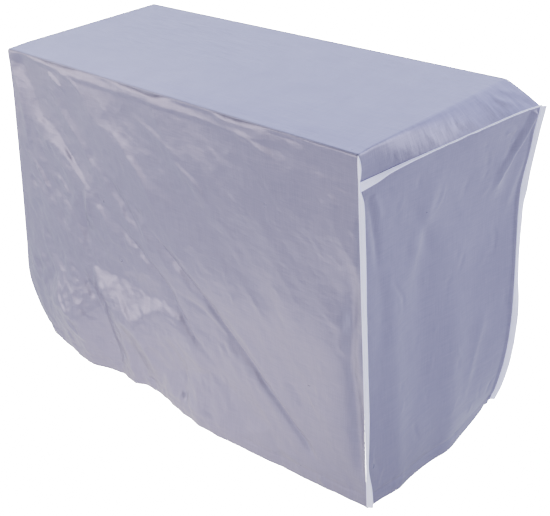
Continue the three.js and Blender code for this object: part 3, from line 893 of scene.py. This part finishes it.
# %% Where each upright tape runs: its lay turns from straight out of the end to straight back
UPRIGHT_TAPES = {
    "binding_right_front": {
        "end": RIGHT_DROOP, "seam": "front", "y": FRONT + .4, "away": .4,
        "lay": [(0, 4), (44, 8), (62, 45), (570, 45)],
        "width": [(1, 1), (8, 3.4), (18, 5), (28, 4.2), (38, 2.2), (50, 3.6), (68, 6.6), (110, 7.2),
                  (170, 7.2), (230, 6.6), (400, 6.6), (440, 5.6), (470, 4.6), (495, 3.8), (515, 5.5),
                  (535, 8), (571, 9.4)],
    },
    "binding_right_back": {
        "end": RIGHT_DROOP, "seam": "back", "y": BACK - .4, "away": .6,
        "lay": [(30, 46), (158, 50), (183, 76), (210, 90), (287, 96), (320, 90), (345, 74), (364, 60),
                (390, 48), (560, 45)],
        "width": [(28, 8.6), (100, 8.6), (152, TAPE_WIDTH), (565, TAPE_WIDTH)],
    },
    "binding_left_front": {
        "end": LEFT_DROOP, "seam": "front", "y": FRONT + .4, "away": .4,
        "lay": [(6, 63), (580, 63)],
        "width": [(2, 2), (60, TAPE_WIDTH), (581, TAPE_WIDTH)],
    },
    "binding_left_back": {
        "end": LEFT_DROOP, "seam": "back", "y": BACK - .4, "away": .4,
        "lay": [(6, 45), (578, 45)],
        "width": [(2, 2), (60, TAPE_WIDTH), (579, TAPE_WIDTH)],
    },
}
TOP_TAPES = {
    "binding_right_top": {
        "end": RIGHT_DROOP,
        "away": [(0, 1.2), (.12, 1), (1, .6)],
        "lay": [(0, -74), (.06, -62), (.1, -46), (.15, -30), (.2, -20), (.3, -6), (.45, 6), (1, 8)],
        "width": [(0, 11), (.05, 9.5), (.09, 8), (.13, 6), (.2, 4.8), (.3, 3.8), (.5, 3), (1, 3.4)],
    },
    "binding_left_top": {
        "end": LEFT_DROOP,
        "away": [(0, .6), (1, .6)],
        "lay": [(0, -70), (1, -70)],
        "width": [(0, TAPE_WIDTH), (1, TAPE_WIDTH)],
    },
}
UP = np.array([0, 0, 1.0])
BACKWARD = np.array([0, 1.0, 0])
UPRIGHT_POINTS = 240
TOP_POINTS = 160
# The tape is stitched a quarter of its width out from the seam, through both faces, where it lies
# wide enough to show its stitches.
STITCH_SHARE = .24
TAPE_FACE = .62
STITCHED_WIDTH = 6
tapes = {}
seam_stitches = []


def add_tape(name, edge, way, width, along):
    tapes[name] = tape_mesh(name + "_tape", edge, way, width, along)
    normal = np.cross(along, way)
    normal /= np.linalg.norm(normal, axis=1)[:, None]
    wide = width > STITCHED_WIDTH
    for side in (1, -1):
        line = edge + way * (STITCH_SHARE * width)[:, None] + side * normal * TAPE_FACE
        seam_stitches.append((line[wide], side * normal[wide]))


for name, tape in UPRIGHT_TAPES.items():
    end = tape["end"]
    down = np.linspace(tape["width"][-1][0], tape["width"][0][0], UPRIGHT_POINTS)
    angle = np.radians(read(tape["lay"], down)) + uneven(down, down * 0, .06, shortest=60)
    x = end["side"] * (HALF_LENGTH + read(end[tape["seam"]], down) + tape["away"])
    edge = np.stack([x, np.full_like(x, tape["y"]), TOP_LEVEL - down], -1)
    way = np.stack([end["side"] * np.cos(angle), np.sin(angle), 0 * angle], -1)
    add_tape(name, edge, way, read(tape["width"], down), np.broadcast_to(UP, edge.shape))

for name, tape in TOP_TAPES.items():
    end = tape["end"]
    share = np.linspace(.002, .995, TOP_POINTS)
    out, drop = seam_end(end, share)
    run = share * (BACK - FRONT)
    angle = np.radians(read(tape["lay"], share)) + uneven(run, run * 0, .08, shortest=50)
    x = end["side"] * (HALF_LENGTH + out + read(tape["away"], share))
    edge = np.stack([x, mix(FRONT, BACK, share), TOP_LEVEL - drop], -1)
    way = np.stack([end["side"] * np.cos(angle), 0 * angle, np.sin(angle)], -1)
    add_tape(name, edge, way, read(tape["width"], share), np.broadcast_to(BACKWARD, edge.shape))


# %% Hem stitches, along the groove that they draw in
HEM_POINTS = 500


def level_normals(places, x, y):
    return np.broadcast_to(np.array([x, y, 0.0]), places.shape)


hem_rows = []
share = np.linspace(.01, .99, HEM_POINTS)
line = front_cloth(share, read(FRONT_HEM, share) - HEM + STITCH_LINE, HEM_GROOVE)
hem_rows.append((line, level_normals(line, 0, -1.0)))
hemmed_ends = ((RIGHT_DROOP, RIGHT_HEM, RIGHT_RELIEF), (LEFT_DROOP, LEFT_HEM, LEFT_RELIEF))
for end, table, relief in hemmed_ends:
    hem = read(table, share)
    line = end_cloth(end, hem, relief, share, hem - HEM + STITCH_LINE, HEM_GROOVE)
    hem_rows.append((line, level_normals(line, 1.0 * end["side"], 0)))
hem_thread = stitches("hem_stitches", hem_rows)
tape_thread = stitches("binding_stitches", seam_stitches)

# %% [markdown]
# The cloth is polyester oxford with a silver coating: a plain weave, calendered flat and coated
# with an aluminium-filled polymer. That gives it a soft metallic satin, neither mirror nor matt,
# with the weave only just showing through. It could be a plain metal with a photographed weave.
# Here the weave, the slubs and the handling are worked out from named sizes, so nothing is copied.


# %% Colours and nodes
def linear(code):
    """A colour from its sRGB hex code to the linear values that Blender's sockets take."""
    shares = [int(code[place:place + 2], 16) / 255 for place in (0, 2, 4)]
    return (*(v / 12.92 if v <= .04045 else ((v + .055) / 1.055) ** 2.4 for v in shares), 1)


def add_node(tree, kind, settings=None, links=None):
    """Adds a node, sets its properties and sockets, and links other nodes' outputs into it."""
    node = tree.nodes.new(kind)
    for name, value in (settings or {}).items():
        if isinstance(name, int) or name in node.inputs:
            node.inputs[name].default_value = value
        else:
            setattr(node, name, value)
    for name, output in (links or {}).items():
        tree.links.new(output, node.inputs[name])
    return node


def new_material(name):
    material = bpy.data.materials.new(name)
    material.use_nodes = True
    material.node_tree.nodes.clear()
    return material, material.node_tree


def finish_material(tree, settings, links):
    shader = add_node(tree, "ShaderNodeBsdfPrincipled", settings, links)
    add_node(tree, "ShaderNodeOutputMaterial", None, {"Surface": shader.outputs["BSDF"]})


print("mid grey of sRGB 808080 is", round(linear("808080")[0], 3), "in linear light")

# %% Silver-coated polyester oxford
# Oxford threads lie about 0.4 mm apart. At this size a pixel covers about 1.5 mm, so the weave is
# drawn 1.2 mm apart. Slubs are thick places in the yarn and show as faint streaks both ways, drawn
# 1.4 mm wide. Handling polishes the coating in patches, and leaves faint creasing along the pull.
# The aluminium flakes lie in a clear binder, so the coating is metallic only in part.
WEAVE_PITCH = 1.2 * MM
WAVES_PER_UNIT = 3.14
SLUB = (1.4 * MM, 45 * MM)
HANDLED_PATCH = 60 * MM
CREASING = (60 * MM, 18 * MM)
cloth, tree = new_material("silver_coated_oxford")
cut = add_node(tree, "ShaderNodeUVMap", {"uv_map": "cut_cloth"})
weave_waves = []
for direction in ("X", "Y"):
    weave_waves.append(add_node(
        tree, "ShaderNodeTexWave",
        {"wave_type": "BANDS", "bands_direction": direction, "Scale": 1 / WEAVE_PITCH / WAVES_PER_UNIT,
         "Distortion": .6, "Detail": 1, "Detail Scale": 1.5},
        {"Vector": cut.outputs["UV"]}))
weave = add_node(tree, "ShaderNodeMath", {"operation": "MULTIPLY"},
                 {0: weave_waves[0].outputs["Fac"], 1: weave_waves[1].outputs["Fac"]})
slubs = []
for wide, long in (SLUB, SLUB[::-1]):
    stretched = add_node(tree, "ShaderNodeMapping", {"Scale": (1 / wide, 1 / long, 1)},
                         {"Vector": cut.outputs["UV"]})
    slubs.append(add_node(tree, "ShaderNodeTexNoise", {"Scale": 1, "Detail": 2, "Roughness": .6},
                          {"Vector": stretched.outputs["Vector"]}))
slub = add_node(tree, "ShaderNodeMath", {"operation": "ADD"},
                {0: slubs[0].outputs["Fac"], 1: slubs[1].outputs["Fac"]})
handled = add_node(tree, "ShaderNodeTexNoise",
                   {"Scale": 1 / HANDLED_PATCH, "Detail": 4, "Roughness": .6},
                   {"Vector": cut.outputs["UV"]})
tone = add_node(tree, "ShaderNodeMapRange", {"From Min": .6, "From Max": 1.4},
                {"Value": slub.outputs[0]})
colour = add_node(tree, "ShaderNodeMix", {"data_type": "RGBA"}, {"Factor": tone.outputs["Result"]})
colour.inputs[6].default_value = linear("7b7895")
colour.inputs[7].default_value = linear("8986a5")
gloss = add_node(tree, "ShaderNodeMapRange",
                 {"From Min": .2, "From Max": .8, "To Min": .26, "To Max": .35},
                 {"Value": handled.outputs["Fac"]})
relief_sum = add_node(tree, "ShaderNodeMath", {"operation": "MULTIPLY_ADD", 1: .5},
                      {0: slub.outputs[0], 2: weave.outputs[0]})
weave_bump = add_node(tree, "ShaderNodeBump", {"Strength": .25, "Distance": .12 * MM},
                      {"Height": relief_sum.outputs[0]})
pulled = add_node(tree, "ShaderNodeMapping",
                  {"Rotation": (0, 0, PULL), "Scale": (1 / CREASING[0], 1 / CREASING[1], 1)},
                  {"Vector": cut.outputs["UV"]})
creasing = add_node(tree, "ShaderNodeTexNoise", {"Scale": 1, "Detail": 3, "Roughness": .55},
                    {"Vector": pulled.outputs["Vector"]})
bump = add_node(tree, "ShaderNodeBump", {"Strength": .5, "Distance": 2 * MM},
                {"Height": creasing.outputs["Fac"], "Normal": weave_bump.outputs["Normal"]})
finish_material(tree, {"Metallic": .62},
                {"Base Color": colour.outputs[2], "Roughness": gloss.outputs["Result"],
                 "Normal": bump.outputs["Normal"]})

# %% White woven polyester tape
# The tape is a narrow twill, woven soft and left uncoated, so it is matt. Its ribs, which this
# scale puts about 1.5 mm apart, give a faint grain. It also gives back a little bluish light of its
# own: a painted glow that makes it look more brightly lit than the lamps alone make it.
RIB_SCALE = 289.52
FUZZ = 3 * MM
tape_cloth, tree = new_material("white_woven_polyester_tape")
cut = add_node(tree, "ShaderNodeUVMap", {"uv_map": "cut_cloth"})
ribs = add_node(tree, "ShaderNodeTexWave",
                {"wave_type": "BANDS", "bands_direction": "DIAGONAL",
                 "Scale": RIB_SCALE, "Distortion": .8},
                {"Vector": cut.outputs["UV"]})
fuzz = add_node(tree, "ShaderNodeTexNoise", {"Scale": 1 / FUZZ, "Detail": 3},
                {"Vector": cut.outputs["UV"]})
tone = add_node(tree, "ShaderNodeMapRange", {"From Min": .3, "From Max": .7},
                {"Value": fuzz.outputs["Fac"]})
colour = add_node(tree, "ShaderNodeMix", {"data_type": "RGBA"}, {"Factor": tone.outputs["Result"]})
colour.inputs[6].default_value = linear("e6e6ff")
colour.inputs[7].default_value = linear("f2f2ff")
bump = add_node(tree, "ShaderNodeBump", {"Strength": .4, "Distance": .15 * MM},
                {"Height": ribs.outputs["Fac"]})
# The emission is painted light: a faint bluish glow that brightens the tape as if more light fell on it.
finish_material(tree, {"Roughness": .78, "Sheen Weight": .2, "IOR": 1.45,
                       "Emission Color": linear("b8beff"), "Emission Strength": .5},
                {"Base Color": colour.outputs[2], "Normal": bump.outputs["Normal"]})

# %% Spun polyester thread
# It is twisted from short fibres, which leave a faint mottle 0.6 mm long and a soft shine. The
# hem's thread matches the cloth, the tape's is white.
FIBRE_MOTTLE = .6 * MM


def thread_material(name, dark, light):
    material, tree = new_material(name)
    place = add_node(tree, "ShaderNodeTexCoord")
    fibres = add_node(tree, "ShaderNodeTexNoise", {"Scale": 1 / FIBRE_MOTTLE, "Detail": 2},
                      {"Vector": place.outputs["Object"]})
    colour = add_node(tree, "ShaderNodeMix", {"data_type": "RGBA"}, {"Factor": fibres.outputs["Fac"]})
    colour.inputs[6].default_value = linear(dark)
    colour.inputs[7].default_value = linear(light)
    finish_material(tree, {"Roughness": .6, "IOR": 1.5}, {"Base Color": colour.outputs[2]})
    return material


grey_thread = thread_material("grey_spun_polyester_thread", "72708a", "8c8aa2")
white_thread = thread_material("white_spun_polyester_thread", "dcdcec", "f4f4fc")

for piece in (body_panel, right_panel, left_panel):
    piece.data.materials.append(cloth)
for piece in tapes.values():
    piece.data.materials.append(tape_cloth)
hem_thread.data.materials.append(grey_thread)
tape_thread.data.materials.append(white_thread)
print("materials:", [m.name for m in (cloth, tape_cloth, grey_thread, white_thread)])

# %% [markdown]
# A product photographer shoots such a cover on white paper. Satin cloth shows what it mirrors more
# than what shines on it, so each light stands where one side of the cover mirrors it to the camera:
# low at the front left for the folds of the front, over the left for the bend into the top, long
# behind for the top, and behind the right for the end and its droop. The flat front mirrors the
# floor, which a spot brightens. The paper and the air also glow white to the camera, and that glow
# lights nothing.

# %% Floor of plain white paper
FLOOR_LEVEL = -0.66
FLOOR_REACH = 9
CAMERA_GLOW = 40.0
corners = [(-1, -1), (1, -1), (1, 1), (-1, 1)]
mesh = bpy.data.meshes.new("studio_floor")
mesh.from_pydata([(x * FLOOR_REACH, y * FLOOR_REACH, FLOOR_LEVEL) for x, y in corners],
                 [], [(0, 1, 2, 3)])
floor = bpy.data.objects.new("studio_floor", mesh)
bpy.context.scene.collection.objects.link(floor)
paper, tree = new_material("white_studio_paper")
grain = add_node(tree, "ShaderNodeTexNoise", {"Scale": 6, "Detail": 2})
tone = add_node(tree, "ShaderNodeMix", {"data_type": "RGBA"}, {"Factor": grain.outputs["Fac"]})
tone.inputs[6].default_value = linear("fafafa")
tone.inputs[7].default_value = linear("ffffff")
path = add_node(tree, "ShaderNodeLightPath")
glow = add_node(tree, "ShaderNodeMath", {"operation": "MULTIPLY", 1: CAMERA_GLOW},
                {0: path.outputs["Is Camera Ray"]})
finish_material(tree, {"Roughness": .9, "Emission Color": (1, 1, 1, 1)},
                {"Base Color": tone.outputs[2], "Emission Strength": glow.outputs[0]})
mesh.materials.append(paper)
print("floor", FLOOR_LEVEL, "m below the top")


# %% Studio lights, in metres and watts
def hang_lamp(light, place, aim):
    lamp = bpy.data.objects.new(light.name, light)
    lamp.location = place
    lamp.rotation_euler = (Vector(place) - Vector(aim)).to_track_quat("Z", "Y").to_euler()
    bpy.context.scene.collection.objects.link(lamp)


def soft_light(name, place, aim, size, power, colour="ffffff"):
    light = bpy.data.lights.new(name, "AREA")
    light.shape = "RECTANGLE"
    light.size, light.size_y = size
    light.energy = power
    light.color = linear(colour)[:3]
    hang_lamp(light, place, aim)


soft_light("low_front_left", (-2.1, -2.2, -.05), (0, 0, -.35), (2.9, 1.1), 43, "fff3ea")
soft_light("over_left", (-2.3, -1.0, 1.9), (0, -.16, 0), (1.1, 2.0), 30)
soft_light("low_front_right", (1.15, -1.75, -.45), (.4, -.1, -.3), (.6, .5), 20)
soft_light("long_back", (-1, 2.6, 1.8), (0, 0, 0), (9, 2.6), 250, "d6dcff")
soft_light("high_right", (1.9, 1.0, 2.4), (.4, 0, -.1), (1.8, 1.8), 30, "ecedff")
soft_light("low_right_back", (2.7, 2.6, .75), (.4, 0, -.2), (2.6, 2.0), 68, "f2f2ff")
soft_light("back_kicker", (.5, 1.3, -.36), (.45, .16, -.1), (.4, .3), 6, "f2f3ff")

pool = bpy.data.lights.new("floor_pool", "SPOT")
pool.energy = 240
pool.color = linear("fff3ea")[:3]
pool.spot_size = math.radians(34)
pool.spot_blend = .9
pool.shadow_soft_size = .2
hang_lamp(pool, (-.2, -.8, 1.2), (-.1, -.38, -.66))
print(len(bpy.data.lights), "lights")

# %% Air of the studio
# The air lights the cover faintly, and shows to the camera as a white backdrop.
AIR_LIGHT = .3
world = bpy.data.worlds.new("studio_air")
world.use_nodes = True
tree = world.node_tree
path = add_node(tree, "ShaderNodeLightPath")
strength = add_node(tree, "ShaderNodeMath",
                    {"operation": "MULTIPLY_ADD", 1: CAMERA_GLOW, 2: AIR_LIGHT},
                    {0: path.outputs["Is Camera Ray"]})
tree.nodes["Background"].inputs["Color"].default_value = linear("f4f4fc")
tree.links.new(strength.outputs[0], tree.nodes["Background"].inputs["Strength"])
bpy.context.scene.world = world
print("air light:", AIR_LIGHT)

# %% [markdown]
# Last, each piece is hung from the root, and the solid that a piece stands for is hidden. The body
# panel's cut is as long as front, top and back together with two hems, and as wide as the front at
# its widest.

# %% Pieces and solids
for piece, node in ((body_panel, "body_panel"), (right_panel, "end_panel_right"),
                    (left_panel, "end_panel_left")):
    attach(piece, "root")
    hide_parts(node)
for node, piece in tapes.items():
    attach(piece, "root")
    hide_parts(node)
for piece in (hem_thread, tape_thread):
    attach(piece, "root")

print("sheets:", [piece.name for piece in (body_panel, right_panel, left_panel)])
